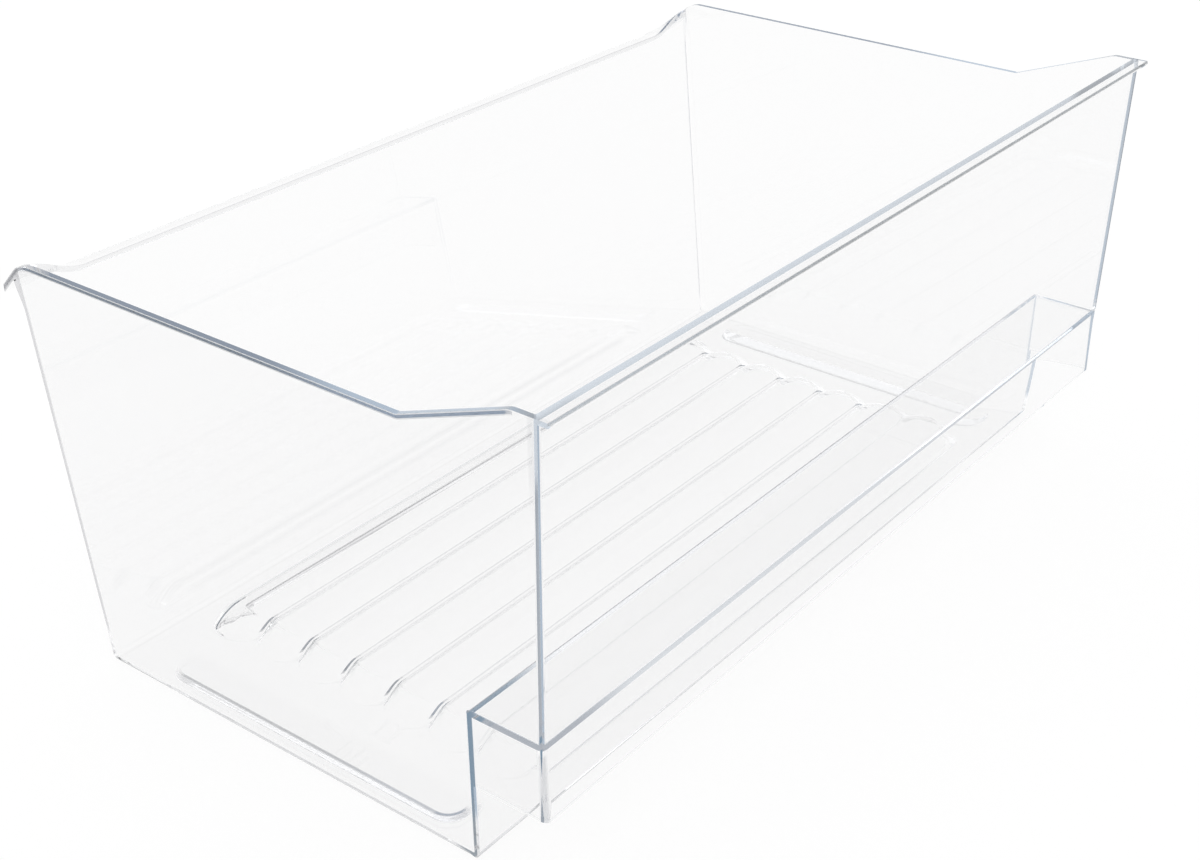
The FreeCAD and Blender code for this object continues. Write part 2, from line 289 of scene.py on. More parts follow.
# Coves between the cavity's outline and one end wall: a quarter turn swept along the outline
def innerEnds(path, normals, side):
    radius = drawer["cove"]
    lift = radius * (1 - np.cos(turnSteps))
    swept = path[:, None, :] + lift[None, :, None] * normals[:, None, :]
    rise = path[0] - path[1]
    swept[0] = slide(swept[0], rise / np.linalg.norm(rise), lambda y: np.full_like(y, drawer["frontHeight"]))
    climb = path[-1] - path[-2]
    swept[-1] = slide(swept[-1], climb / np.linalg.norm(climb), topLine)
    x = halfWidth(swept[..., 1], drawer["wall"]) - radius + radius * np.sin(turnSteps)[None, :]
    return np.stack([side * x, swept[..., 0], swept[..., 1]], -1)


# The inside: front and back faces carried across, coves and flat faces at the ends, and the floor
def buildCavity(mesher):
    path, normals = innerOutline()
    floorStart = int(np.argmax(np.isclose(path[:, 1], drawer["floor"])))
    floorEnd = len(path) - 1 - int(np.argmax(np.isclose(path[::-1, 1], drawer["floor"])))
    inset = drawer["wall"] + drawer["cove"]
    frontPath = path[:floorStart + 1]
    reach = halfWidth(frontPath[:, 1:2], inset)
    mesher.grid(place(reach * np.array([[-1.0, 1.0]]), frontPath))

    backPath = path[floorEnd:-1]
    reach = halfWidth(backPath[:, 1:2], inset)
    lower = place(reach * stations[None, :], backPath)
    y, z = meetFace(rimTop, stations * riseEnd, backInnerY)
    top = np.stack([stations * halfWidth(z, inset), y, z], -1)
    mesher.grid(np.concatenate([lower, top[None]]))

    ends = {}
    for side in (-1, 1):
        cove = innerEnds(path, normals, side)
        mesher.grid(cove)
        ends[side] = cove
        edge = cove[:, -1]
        wanted = (topPath[:, 0] > edge[0, 1]) & (topPath[:, 0] < edge[-1, 1])
        rim = topPath[wanted][::-1]
        rim = place(side * halfWidth(rim[:, 1:2], drawer["wall"]), rim)[:, 0]
        mesher.flat(np.concatenate([edge, rim]))

    front = [(x, path[floorStart, 0]) for x in (-reachAt(inset), reachAt(inset))]
    back = [(x, path[floorEnd, 0]) for x in stations[::-1] * reachAt(inset)]
    holes = [floorRibs(mesher, 0.0), floorPad(mesher, -1), floorPad(mesher, 1)]
    mesher.level(front + back, holes, drawer["floor"])
    return ends, top


# How far out the cavity's floor goes, less an inset
def reachAt(inset):
    return float(halfWidth(drawer["floor"], inset))


ribs = {
    "count": 7, "pitch": 25.5, "arch": 3.0, "rise": 4.5, "frontGap": 16.0, "endReach": 186.2,
    "backTrim": 3.5,       # how much the last rib is shorter than the pitch
    "endSlope": 14.0,      # plan width of the soft slope at a rib's end
    "grooveSlope": 9.5,    # plan width of the steeper slope at the end of a groove
    "cornerSlope": 15.0,   # plan width of the slope at the back corners
    "cornerBlend": 6.0,    # length over which that slope takes over
    "frontEdge": 3.0,      # plan width of the front side
    "backEdge": 0.7,       # plan width of the steep back side
    "dip": 13.0, "backDip": 5.0,    # how far in the grooves' ends and the back corners stand
    "fadePower": 1.5,      # how fast the arches flatten down the ends
    "grooveFlat": 0.075,   # share of each half pitch that a groove's flat bottom takes
    "grooveLine": 0.028,   # half the width of the painted shade lines that edge it, as the same share
    "hookGap": 1.5,        # plain strip between the line behind the last crown and the back side
    "border": 3.0,         # flat margin of the patch around the ribs
    # Strengths of the painted shade lines: along a groove and at its end, behind the last crown and at that
    # line's end, and at the back's foot
    "lineShade": 0.36, "endShade": 0.9, "backShade": 0.22, "hookShade": 1.0, "footShade": 0.8,
    "frontShare": 0.3,     # strength that is left of them at the first groove
}


# The ribbed platform: arched bars across the drawer with rounded ends that slope down to the floor.
# Height is the platform's rise plus a parabola over each pitch, times a ramp at each edge
def floorRibs(mesher, lowered):
    half = ribs["pitch"] / 2
    start = drawer["channelDepth"] + drawer["wall"] + ribs["frontGap"]
    finish = start + ribs["pitch"] * ribs["count"] - ribs["backTrim"]
    flatFrom, lineHalf = 1 - ribs["grooveFlat"], ribs["grooveLine"]
    # Rows from front to back, close together beside the grooves and down the back side
    near = np.array([flatFrom + lineHalf, flatFrom - lineHalf, 0.87])
    across = np.concatenate([[-1.0], -near, np.linspace(-0.8, 0.8, 11), near[::-1]])
    rows = np.concatenate([start + half + ribs["pitch"] * k + half * across for k in range(ribs["count"])])
    steep = ribs["backEdge"]
    backRows = finish - np.array([steep + ribs["hookGap"], steep, steep / 2, steep / 5, 0.0, -0.45])
    rows = np.concatenate([[start - ribs["border"]], rows[rows < backRows[0] - 0.3], backRows,
                           [finish + ribs["border"]]])
    # Where each row lies in its pitch: -1 and 1 in the grooves, 0 on the crown
    share = (rows - start) / ribs["pitch"]
    local = 2 * (share - np.floor(np.clip(share, 0, ribs["count"] - 1e-9))) - 1
    local = np.clip(local, -1, 1)
    # The last rib keeps its height up to its back edge
    behind = rows > finish + ribs["backTrim"] - half
    lowering = np.where(behind, 0.0, np.minimum(np.abs(local) / flatFrom, 1) ** 2)
    edge = np.minimum(rows - start, finish - rows)
    sides = ramp(edge / np.where(behind, steep, ribs["frontEdge"]))
    # Foot of the rounded ends, and how wide their slope is in plan: steeper in the grooves
    bulge = np.sqrt(np.clip(1 - local ** 2, 0, 1))
    foot = ribs["endReach"] - np.where(behind, ribs["backDip"], ribs["dip"]) * (1 - bulge)
    groove = np.abs(local) ** 4 * ~behind
    run = ribs["endSlope"] + (ribs["grooveSlope"] - ribs["endSlope"]) * groove
    backCorner = smooth((half - (finish - rows)) / ribs["cornerBlend"])
    run = run + (ribs["cornerSlope"] - run) * backCorner
    # Columns: shares of the way up an end's slope and on past its head, then the level middle
    ease = np.array([0.0, 0.06, 0.13, 0.22, 0.33, 0.45, 0.57, 0.69, 0.8, 0.9, 1.0, 1.25])
    middle = np.linspace(-1, 1, 47)
    right = foot[:, None] - run[:, None] * ease[None, ::-1]
    inner = right[:, :1] * middle[None, 1:-1]
    outer = np.full((len(rows), 1), ribs["endReach"] + ribs["border"])
    x = np.concatenate([-outer, -right[:, ::-1], inner, right, outer], 1)
    sharp = np.maximum(groove, backCorner)[:, None]
    slope = smooth(ease)[None, :] * (1 - sharp) + ramp(ease)[None, :] * sharp
    # At the back corners the slope is a quarter turn, upright at its foot
    turn = np.sqrt(1 - (1 - np.clip(ease, 0, 1)) ** 2)
    slope = slope + (turn[None, :] - slope) * backCorner[:, None]
    flat = np.zeros((len(rows), 1))
    end = np.concatenate([flat, slope, np.ones((len(rows), len(middle) - 2)), slope[:, ::-1], flat], 1)
    # The grooves fade out down the ends
    fading = np.clip(end, 0, 1) ** ribs["fadePower"]
    arch = ribs["rise"] + ribs["arch"] * (1 - lowering[:, None]) * fading
    height = arch * sides[:, None] * end
    z = drawer["floor"] - lowered + height
    y = np.broadcast_to(rows[:, None], x.shape)
    along = np.concatenate([[-0.4], ease, np.full(len(middle) - 2, 1.6), ease[::-1], [-0.4]])
    # The painted shade lines go on the top side only
    band = 0.0 if lowered else ribShadeLines(rows, local, (along[1:] + along[:-1]) / 2, start)
    mesher.grid(np.stack([x, y, z], -1), band)
    return np.concatenate([np.stack([x[0], y[0]], 1)[:-1], np.stack([x[:, -1], y[:, -1]], 1)[:-1],
                           np.stack([x[-1], y[-1]], 1)[:0:-1], np.stack([x[:, 0], y[:, 0]], 1)[:0:-1]])


# Strengths of the painted shade lines on the ribs' faces, rows by columns: along both sides of each groove,
# behind the last crown and at the back's foot. Along is how far up its end's slope a column lies, 1 at the
# head
def ribShadeLines(rows, local, along, start):
    flatFrom = 1 - ribs["grooveFlat"]
    between = (local[1:] + local[:-1]) / 2
    grooveRow = np.abs(np.abs(between) - flatFrom) < ribs["grooveLine"] / 2
    hookRow, footRow = len(rows) - 8, len(rows) - 4
    grooveRow[hookRow:] = False
    firstGroove = rows[:-1] < start + ribs["pitch"] * 1.5
    grooveRow = grooveRow * np.where(firstGroove, ribs["frontShare"], 1.0)
    grooveRow[rows[:-1] < start + ribs["pitch"] / 2] = 0.0
    # Each line begins a little way up its slope, and changes its strength at the slope's head
    shape = smooth((along - 0.15) / 0.2)
    strength = ribs["endShade"] + (ribs["lineShade"] - ribs["endShade"]) * smooth((along - 0.95) / 0.3)
    band = grooveRow[:, None] * (shape * strength)[None, :]
    beyondHead = smooth((along - 1.0) / 0.3)
    band[hookRow] = (ribs["hookShade"] + (ribs["backShade"] - ribs["hookShade"]) * beyondHead) * (along > 0)
    band[footRow] = ribs["footShade"] * (0.5 + 0.5 * beyondHead) * (along > 0)
    return band


# A slope with a rounded head, which rises at once from the foot and levels off: the sine over a
# quarter turn, to the power 1.15
def ramp(t):
    t = np.clip(t, 0, 1)
    return np.sin(t * math.pi / 2) ** 1.15


pads = {
    "rise": 2.0, "outerGap": 5.0, "width": 23.0, "backGap": 27.0,
    "corner": 10.0, "innerCorner": 3.0,       # corner radii of the foot and of the flat top's inner side
    "steep": 1.0, "gentle": 9.0,              # plan widths of the outer slope and of that towards the ribs
    # From here on: the painted shade line round each pad's steep sides
    "lineEnds": (0.3, 1.45, 1.85),            # how far in from the top's edge each part of its line ends
    "line": (0.7, 0.9, 0.4), "sideLine": 0.42,    # strengths of those parts, and of the line on the slope
    "farEnd": 11.0, "farFade": 8.0,           # where the line fades before the far end, and how fast
    "innerFade": 6.0,                         # over what length it dies out towards the inner side
    "farShare": 0.75, "farHalf": 55.0,        # strength of its far part, and how long that part is
    "halfFade": 100.0,                        # over what length the full strength is reached from there
    "rightShare": 0.15,                       # strength that is left of it on the right
    "rightInnerLine": 0.5,                    # strength of the line along the right pad's inner foot
}


# A box in plan with round corners of one radius near x0 and another near x1
def roundedBox(x0, x1, y0, y1, near, far, steps=8):
    turn = np.linspace(0, math.pi / 2, steps + 1)
    loop = []
    for quarter, (cx, cy, radius) in enumerate(((x1 - far, y1 - far, far), (x0 + near, y1 - near, near),
                                                (x0 + near, y0 + near, near), (x1 - far, y0 + far, far))):
        angle = turn + quarter * math.pi / 2
        loop.append(np.stack([cx + radius * np.cos(angle), cy + radius * np.sin(angle)], 1))
    return np.concatenate(loop)


# A raised pad: rings from its foot to its flat top, steep outside and gentle towards the ribs
def floorPad(mesher, side):
    outer = drawer["footWidth"] / 2 - drawer["wall"] - pads["outerGap"]
    inner = outer - pads["width"]
    y0 = drawer["channelDepth"] + drawer["wall"] + ribs["frontGap"]
    y1 = float(backInnerY(drawer["floor"])) - pads["backGap"]
    foot = roundedBox(inner, outer, y0, y1, pads["corner"], pads["corner"])
    steep = pads["steep"]
    top = roundedBox(inner + pads["gentle"], outer - steep, y0 + steep, y1 - steep, pads["innerCorner"],
                     pads["corner"] - steep)
    share = np.array([0.0, 0.12, 0.3, 0.5, 0.7, 0.88, 1.0])
    loops = foot[None] * (1 - share[:, None, None]) + top[None] * share[:, None, None]
    lines = [roundedBox(inner + pads["gentle"], outer - steep - gap, y0 + steep + gap, y1 - steep - gap,
                        pads["innerCorner"], pads["corner"] - steep - gap) for gap in pads["lineEnds"]]
    loops = np.concatenate([loops, lines])
    share = np.concatenate([share, [1.0] * len(lines)])
    strengths = np.array([pads["sideLine"]] * (len(share) - len(lines) - 1) + list(pads["line"]))
    z = np.broadcast_to((drawer["floor"] + pads["rise"] * smooth(share))[:, None, None],
                        (len(share), len(foot), 1))
    rings = np.concatenate([loops, z], -1) * np.array([side, 1, 1])
    # The pad's outline is painted as a shade line round its steep sides, fading at the far end
    plan = np.concatenate([rings, rings[:, :1]], 1)
    middle = (plan[:-1, :-1] + plan[1:, 1:]) / 2
    outerShare = smooth((np.abs(middle[..., 0]) - (inner + pads["gentle"])) / pads["innerFade"])
    nearShare = 1 - smooth((middle[..., 1] - (y1 - pads["farEnd"])) / pads["farFade"])
    nearHalf = smooth((y1 - pads["farHalf"] - middle[..., 1]) / pads["halfFade"])
    nearShare = nearShare * (pads["farShare"] + (1 - pads["farShare"]) * nearHalf)
    band = strengths[:, None] * outerShare * nearShare
    if side > 0:
        band *= pads["rightShare"]
        band[0] += pads["rightInnerLine"] * (1 - outerShare[0])
    mesher.grid(plan, band)
    mesher.flat(rings[-1])
    return rings[0, :, :2]


# The front face under the flange, the skirt, and the channel behind it down to the foot
def buildFront(mesher):
    wall = drawer["wall"]
    top, low = drawer["frontHeight"], drawer["frontHeight"] - drawer["flangeThickness"]
    skirt, under = drawer["skirtHeight"], drawer["ledgeHeight"] - wall
    depth = drawer["channelDepth"]
    front = np.array([(frontTip, top), (frontTip, low), (float(frontY(low)), low),
                      (0.0, drawer["ledgeHeight"]), (float(frontY(skirt)), skirt)])
    mesher.grid(place(halfWidth(front[:, 1:2]) * np.array([[-1.0, 1.0]]), front))

    outerLow, innerLow, innerHigh = halfWidth(skirt), halfWidth(skirt, wall), halfWidth(under, wall)
    skirtIn, skirtUp = float(frontY(skirt)) + wall, float(frontY(under)) + wall
    skirtOut = float(frontY(skirt))
    mesher.flat([(-outerLow, depth, skirt), (-outerLow, skirtOut, skirt), (outerLow, skirtOut, skirt),
                 (outerLow, depth, skirt), (innerLow, depth, skirt), (innerLow, skirtIn, skirt),
                 (-innerLow, skirtIn, skirt), (-innerLow, depth, skirt)])
    mesher.flat([(-innerLow, skirtIn, skirt), (innerLow, skirtIn, skirt), (innerHigh, skirtUp, under),
                 (-innerHigh, skirtUp, under)])
    mesher.flat([(-innerHigh, skirtUp, under), (innerHigh, skirtUp, under), (innerHigh, depth, under),
                 (-innerHigh, depth, under)])
    for side in (-1, 1):
        mesher.flat([(side * innerLow, skirtIn, skirt), (side * innerHigh, skirtUp, under),
                     (side * innerHigh, depth, under), (side * innerLow, depth, skirt)])
    footTop = drawer["footRound"]
    footWide = float(halfWidth(footTop))
    mesher.flat([(-innerHigh, depth, under), (innerHigh, depth, under), (innerLow, depth, skirt),
                 (outerLow, depth, skirt), (footWide, depth, footTop), (-footWide, depth, footTop),
                 (-outerLow, depth, skirt), (-innerLow, depth, skirt)])
    return front


# The rounded foot, the back wall's outer face and the roundings between them and the end walls
def buildBack(mesher, ends):
    depth, footTop = drawer["channelDepth"], drawer["footRound"]
    # The outline from the front foot to the back wall, and how far the end rounding has grown on it
    path, normals = roundedPath([(depth, footTop * 2), (depth, 0), (float(backY(0)), 0),
                                 (float(backY(100)), 100)], [footTop, footTop])
    path, normals = path[1:-1], normals[1:-1]
    half = len(path) // 2
    rounding = np.full(len(path), drawer["footRound"])
    rounding[:half] = drawer["footRound"] * smooth(np.linspace(0, 1, half))
    # Shares of the way up to the lip: three rows, then eight over which the end rounding runs out
    closing = np.array([1.0, 0.85, 0.7, 0.5, 0.3, 0.15, 0.05, 0.0]) * drawer["cornerFade"]
    climb = 1 - np.concatenate([[0.6, 0.3, 0.15], closing])
    fade = drawer["footRound"] * smooth((1 - climb) / drawer["cornerFade"])
    across = stations * riseEnd
    startZ = path[-1, 1]

    # Rows up the back face at a share of the way to the lip, for stations x at the lip's height
    def backFace(share, x):
        _, z = meetFace(rimUnder, x, backY)
        return startZ + share[:, None] * (z - startZ)[None, :]

    inset = drawer["wall"] + drawer["cove"]
    lowerX = halfWidth(path[half:, 1:2], inset) * stations[None, :]
    lower = place(lowerX, path[half:])
    z = backFace(climb, across)
    upper = np.stack([stations[None, :] * halfWidth(z, inset), backY(z), z], -1)
    back = np.concatenate([lower, upper])
    mesher.grid(back)
    frontFoot = path[:half]
    footReach = (halfWidth(frontFoot[:, 1]) - rounding[:half])[:, None]
    mesher.grid(place(footReach * np.array([[-1.0, 1.0]]), frontFoot))

    endZ = backFace(climb, np.array([riseEnd]))[:, 0]
    endPath = np.concatenate([path, np.stack([backY(endZ), endZ], 1)])
    backNormal = np.array([-math.cos(drawer["backLean"]), math.sin(drawer["backLean"])])
    endNormals = np.concatenate([normals, np.broadcast_to(backNormal, (len(endZ), 2))])
    endRound = np.concatenate([rounding, fade])
    for side in (-1, 1):
        lift = endRound[:, None] * (1 - np.cos(turnSteps))[None, :]
        swept = endPath[:, None, :] + lift[..., None] * endNormals[:, None, :]
        x = halfWidth(swept[..., 1]) - endRound[:, None] + endRound[:, None] * np.sin(turnSteps)[None, :]
        turned = np.stack([side * x, swept[..., 0], swept[..., 1]], -1)
        mesher.grid(turned)
        strip = np.stack([back[:, 0 if side < 0 else -1], turned[half:, 0]], 1)
        mesher.grid(strip)
        ends[side] = (ends[side], turned)


# The painted shade lines that edge the end walls under their outer top edge: how deep each one ends and how
# strong it is. The two colours are those of every painted shade line, pale at the front and dark at the back
rimShadeLines = {
    "depths": (0.45, 1.65, 2.15),
    "strengths": (0.5, 1.0, 0.5),
    "tipShare": 0.7,       # strength that is left over the lip's ends
    "tipFade": 10.0, "frontFade": 16.0,    # lengths over which it changes there and dies out at the front
    "dark": (0.025, 0.038, 0.06, 1.0), "pale": (0.07, 0.105, 0.17, 1.0),
    "paleToDark": (-60, 0),    # where the pale one turns into the dark one, along the row's Y
}


# The lip and the back wall's top, across the stations and out to the end planes
def buildLip(mesher, ends, rimInner):
    across = stations * riseEnd
    meetY = meetFace(rimUnder, across, backY)[0]
    lipSteps = np.linspace(0, 1, 9)
    tipTop = rimTop(across, np.full_like(across, lipTip))
    tipLow = rimUnder(across, np.full_like(across, lipTip))
    lipUnderY = meetY[None] + (lipTip - meetY)[None] * lipSteps[:, None]
    lipUnderZ = rimUnder(np.broadcast_to(across, lipUnderY.shape), lipUnderY)
    lipTopY = rimInner[None, :, 1] + (lipTip - rimInner[None, :, 1]) * lipSteps[::-1, None]
    lipTopZ = rimTop(np.broadcast_to(across, lipTopY.shape), lipTopY)
    drops = np.array(rimShadeLines["depths"][::-1])[:, None] / drawer["lipThickness"]
    tipZ = tipTop[None] - (tipTop - tipLow)[None] * drops
    y = np.concatenate([lipUnderY, np.full_like(tipZ, lipTip), lipTopY])
    z = np.concatenate([lipUnderZ, tipZ, lipTopZ])
    x = stations[None, :] * halfWidth(z, drawer["wall"] + drawer["cove"])
    lip = np.stack([x, y, z], -1)
    mesher.grid(lip)
    for side, column in ((-1, 0), (1, -1)):
        edge = lip[:, column]
        flush = edge.copy()
        flush[:, 0] = side * halfWidth(edge[:, 2])
        mesher.grid(np.stack([edge, flush], 1))
        ends[side] += (flush,)


# The end walls' top faces and outer faces, and the flat face over the front flange
def buildRims(mesher, front, ends):
    wall = drawer["wall"]
    height = drawer["frontHeight"]
    frontLoop = []
    for side in (-1, 1):
        cove, turned, flush = ends[side]
        coveTop = cove[-1, ::-1]
        coveFront = cove[0]
        wanted = (topPath[:, 0] > coveFront[-1, 1] + 1e-6) & (topPath[:, 0] < coveTop[0, 1] - 1e-6)
        rim = topPath[wanted]
        innerRim = place(side * halfWidth(rim[:, 1:2], wall), rim)[:, 0]
        innerRim = np.concatenate([innerRim, coveTop])
        outerRim = innerRim.copy()
        outerRim[:, 0] = side * halfWidth(innerRim[:, 2])
        mesher.grid(np.stack([innerRim, outerRim], 1))
        frontSide = np.concatenate([coveFront, innerRim[:1], outerRim[:1],
                                    [[side * halfWidth(height), frontTip, height]]])
        frontLoop.append(frontSide)
        # The outer end face, under the rim and behind the front's steps
        steps = place(side * halfWidth(front[:, 1:2]), front)[:, 0]
        low = drawer["skirtHeight"]
        step = np.array([[side * halfWidth(low), drawer["channelDepth"], low]])
        under = (len(flush) - len(rimShadeLines["depths"])) // 2
        crown = np.concatenate([outerRim, flush[-under:][::-1][1:]])
        slope = np.gradient(crown[:, 2], crown[:, 1])
        lines = [crown]
        for depth in rimShadeLines["depths"]:
            line = crown.copy()
            line[:, 2] -= depth * np.sqrt(1 + slope * slope)
            line[:, 0] = side * halfWidth(line[:, 2])
            lines.append(line)
        # The strips under the crown carry the painted shade lines, weaker over the lip's ends and dying out
        # at the front
        crownY = crown[1:, 1:2]
        overTip = smooth((crownY - drawer["shoulderStart"]) / rimShadeLines["tipFade"])
        for index, strength in enumerate(rimShadeLines["strengths"]):
            fading = strength * (1 + (rimShadeLines["tipShare"] - 1) * overTip)
            fading = fading * smooth(crownY / rimShadeLines["frontFade"])
            mesher.grid(np.stack([lines[index], lines[index + 1]], 1), fading)
        start = np.stack([line[0] for line in lines])[::-1]
        mesher.flat(np.concatenate([steps, step, turned[:, -1], flush[:under], lines[-1][::-1], start]))
    mesher.flat(np.concatenate([frontLoop[1], frontLoop[0][::-1]]))


# The level underside, with the hollow under the ribs
def buildUnderside(mesher):
    reach = float(halfWidth(0)) - drawer["footRound"]
    y0 = drawer["channelDepth"] + drawer["footRound"]
    corners = [(0, 0), (float(backY(0)), 0), (float(backY(100)), 100)]
    y1 = roundedPath(corners, [drawer["footRound"]])[0][1, 0]
    inner = float(halfWidth(0, drawer["wall"] + drawer["cove"]))
    back = [(x, y1) for x in stations[::-1] * inner]
    outer = [(-reach, y0), (reach, y0), (reach, y1)] + back + [(-reach, y1)]
    mesher.level(outer, [floorRibs(mesher, drawer["floor"])], 0.0)


# The whole drawer as one closed skin
def buildShell():
    mesher = Mesher()
    ends, rimInner = buildCavity(mesher)
    print("cavity")
    front = buildFront(mesher)
    buildBack(mesher, ends)
    print("front and back")
    buildLip(mesher, ends, rimInner)
    buildRims(mesher, front, ends)
    print("lip and rims")
    buildUnderside(mesher)
    print("underside")
    return mesher.write("drawer_shell")


# Short ways to add nodes to one material
class NodeTree:
    def __init__(self, material):
        self.nodes = material.node_tree.nodes
        self.links = material.node_tree.links

    # A number that goes from low to high between two values of a measure, in millimetres by default
    def fade(self, where, limits, low=0.0, high=1.0, unit=0.001):
        share = self.nodes.new("ShaderNodeMapRange")
        share.interpolation_type = "SMOOTHSTEP"
        share.inputs["From Min"].default_value = limits[0] * unit
        share.inputs["From Max"].default_value = limits[1] * unit
        share.inputs["To Min"].default_value = low
        share.inputs["To Max"].default_value = high
        self.links.new(where, share.inputs["Value"])
        return share.outputs["Result"]

    # One colour turning into the next between two values of a measure
    def blend(self, first, second, where, limits, unit=0.001):
        mixed = self.nodes.new("ShaderNodeMix")
        mixed.data_type = "RGBA"
        self.links.new(self.fade(where, limits, unit=unit), mixed.inputs["Factor"])
        for socket, value in ((mixed.inputs[6], first), (mixed.inputs[7], second)):
            if isinstance(value, tuple):
                socket.default_value = value
            else:
                self.links.new(value, socket)
        return mixed.outputs[2]

    # A sum, product or the like of one to three numbers, each of them a value or a socket
    def combine(self, operation, *values, clamp=False):
        step = self.nodes.new("ShaderNodeMath")
        step.operation = operation
        step.use_clamp = clamp
        for socket, value in zip(step.inputs, values):
            if isinstance(value, float):
                socket.default_value = value
            else:
                self.links.new(value, socket)
        return step.outputs[0]

    def product(self, first, *others):
        for value in others:
            first = self.combine("MULTIPLY", first, value)
        return first


# Colours of the painted glow that stands in for light trapped in the plastic, each named for the place that
# it is seen at
paintedGlows = {
    "side": (0.12, 0.153, 0.205, 1.0),     # the end walls' level top
    "ramp": (0.26, 0.32, 0.39, 1.0),
    "post": (0.215, 0.24, 0.27, 1.0),      # the front corners
    "back": (0.46, 0.46, 0.465, 1.0),
    "corner": (0.10, 0.165, 0.23, 1.0),    # the left inset corner, under the ledge
    "ledgeEnd": (0.27, 0.29, 0.32, 1.0),
    "foot": (0.58, 0.58, 0.585, 1.0),
    "front": (0.45, 0.49, 0.53, 1.0),      # the front rim
    "ledge": (0.47, 0.49, 0.51, 1.0),
    "inset": (0.71, 0.72, 0.73, 1.0),      # the set-back wall
    "lowCorner": (0.18, 0.205, 0.23, 1.0),     # the inset corner's foot
    "right": (0.70, 0.71, 0.73, 1.0),      # the right inset corner
    "rightFoot": (0.655, 0.66, 0.665, 1.0),
    "backFloor": (0.68, 0.68, 0.68, 1.0),
    "rib": (0.28, 0.29, 0.30, 1.0),
}

# Where one of them turns into the next, in millimetres along the row's X, Y or Z, or outwards from the
# middle plane
paintedGlowLimits = {
    "rampEnd": (-40, 10),            # Y, from the ramps to the level top
    "postHead": (164, 176),          # Z, from the front corners to the front rim
    "postEnd": (-122, -110),         # Y, from the front corners to the ramps
    "postSkin": (-131.5, -129.5),    # Y, through the front wall
    "backEnd": (100, 112),           # Y, from the end walls to the back corners
    "backHead": (140, 150),          # Z, from the back corners to the rim over them
    "cornerHead": (62, 67),          # Z, from the inset corner to the ledge's end
    "ledgeFoot": (63, 67),           # Z, from the set-back wall to the ledge
    "ledgeHead": (85, 110),          # Z, from the ledge to the front wall and its rim
    "leftToRight": (-50, 50),        # X
    "cornerSide": (160, 197),        # outwards, from the ledge to its ends
    "postSide": (186, 196),          # outwards, from the front wall to its corners
    "cornerToPost": (72, 90),        # Z
    "frontToBack": (-60, 60),        # Y
    "wallToEnd": (220, 226),         # outwards
    "ribEnd": (172, 180),            # outwards, from the ribs to the foot
    "lowCorner": (-84, -74),         # Y
    "rightFoot": (120, 180),         # X
    "backFloor": (91, 96),           # Y
    "floorToWall": (11, 16), "footToWall": (4, 10),    # Z, inwards and outwards of the next limit
    "footSide": (190, 200),          # outwards
}


# The colour of the painted glow for trapped light, from the end walls inwards to the front and back, and
# down to the floor
def paintedGlowColour(tree, x, y, z, out):
    blend, limits = tree.blend, paintedGlowLimits
    ends = blend(paintedGlows["ramp"], paintedGlows["side"], y, limits["rampEnd"])
    upper = blend(paintedGlows["post"], paintedGlows["front"], z, limits["postHead"])
    ends = blend(paintedGlows["post"], ends, y, limits["postEnd"])
    ends = blend(upper, ends, y, limits["postSkin"])
    ends = blend(ends, blend(paintedGlows["back"], ends, z, limits["backHead"]), y, limits["backEnd"])
    corner = blend(paintedGlows["corner"], paintedGlows["ledgeEnd"], z, limits["cornerHead"])
    rightCorner = blend(paintedGlows["right"], paintedGlows["ledge"], z, limits["ledgeFoot"])
    corner = blend(corner, rightCorner, x, limits["leftToRight"])
    middle = blend(paintedGlows["ledge"], paintedGlows["front"], z, limits["ledgeHead"])
    middle = blend(paintedGlows["inset"], middle, z, limits["ledgeFoot"])
    front = blend(blend(middle, corner, out, limits["cornerSide"]),
                  blend(middle, upper, out, limits["postSide"]), z, limits["cornerToPost"])
    walls = blend(front, paintedGlows["back"], y, limits["frontToBack"])
    walls = blend(walls, ends, out, limits["wallToEnd"])
    low = blend(paintedGlows["rib"], paintedGlows["foot"], out, limits["ribEnd"])
    low = blend(paintedGlows["lowCorner"], low, y, limits["lowCorner"])
    low = blend(low, paintedGlows["rightFoot"], x, limits["rightFoot"])
    low = blend(low, paintedGlows["backFloor"], y, limits["backFloor"])
    return blend(blend(low, walls, z, limits["floorToWall"]),
                 blend(low, walls, z, limits["footToWall"]), out, limits["footSide"])


# Colours of the surface, of the painted shade on the flange's nose and on its left end, and strengths of
# four painted shade lines
coloursAndShade = {
    "walls": (1.0, 1.0, 1.0, 1.0), "nose": (0.25, 0.235, 0.22, 1.0), "noseEnd": (0.42, 0.41, 0.40, 1.0),
    "skirtCorner": 0.45,   # the skirt's outer corners
    "postTop": 0.27,       # the heads of the front corners
    "ledge": 0.4,          # the right half of the ledge's front edge
    "right": 0.85,         # up the right front corner
}

# Their limits, as above
shadeLimits = {
    "corner": (225.5, 227.5), "cornerSkin": (-133, -131.5),    # outwards and Y
    "skirtHead": (67, 70), "postTop": (160, 185),              # Z
    "frontSkin": (-133.8, -133.4),                             # Y
    "ledgeRight": (20, 110), "ledgeTop": (71.2, 71.6), "ledgeLow": (69.4, 69.9),    # X and Z
    "right": (0, 100), "rightEdge": (227.4, 227.7), "rightFoot": (72.0, 73.0),      # X, outwards and Z
    "noseEnd": (-200, -60), "noseTop": (205.0, 205.3), "noseFront": (-140.9, -140.3),    # X, Z and Y
}
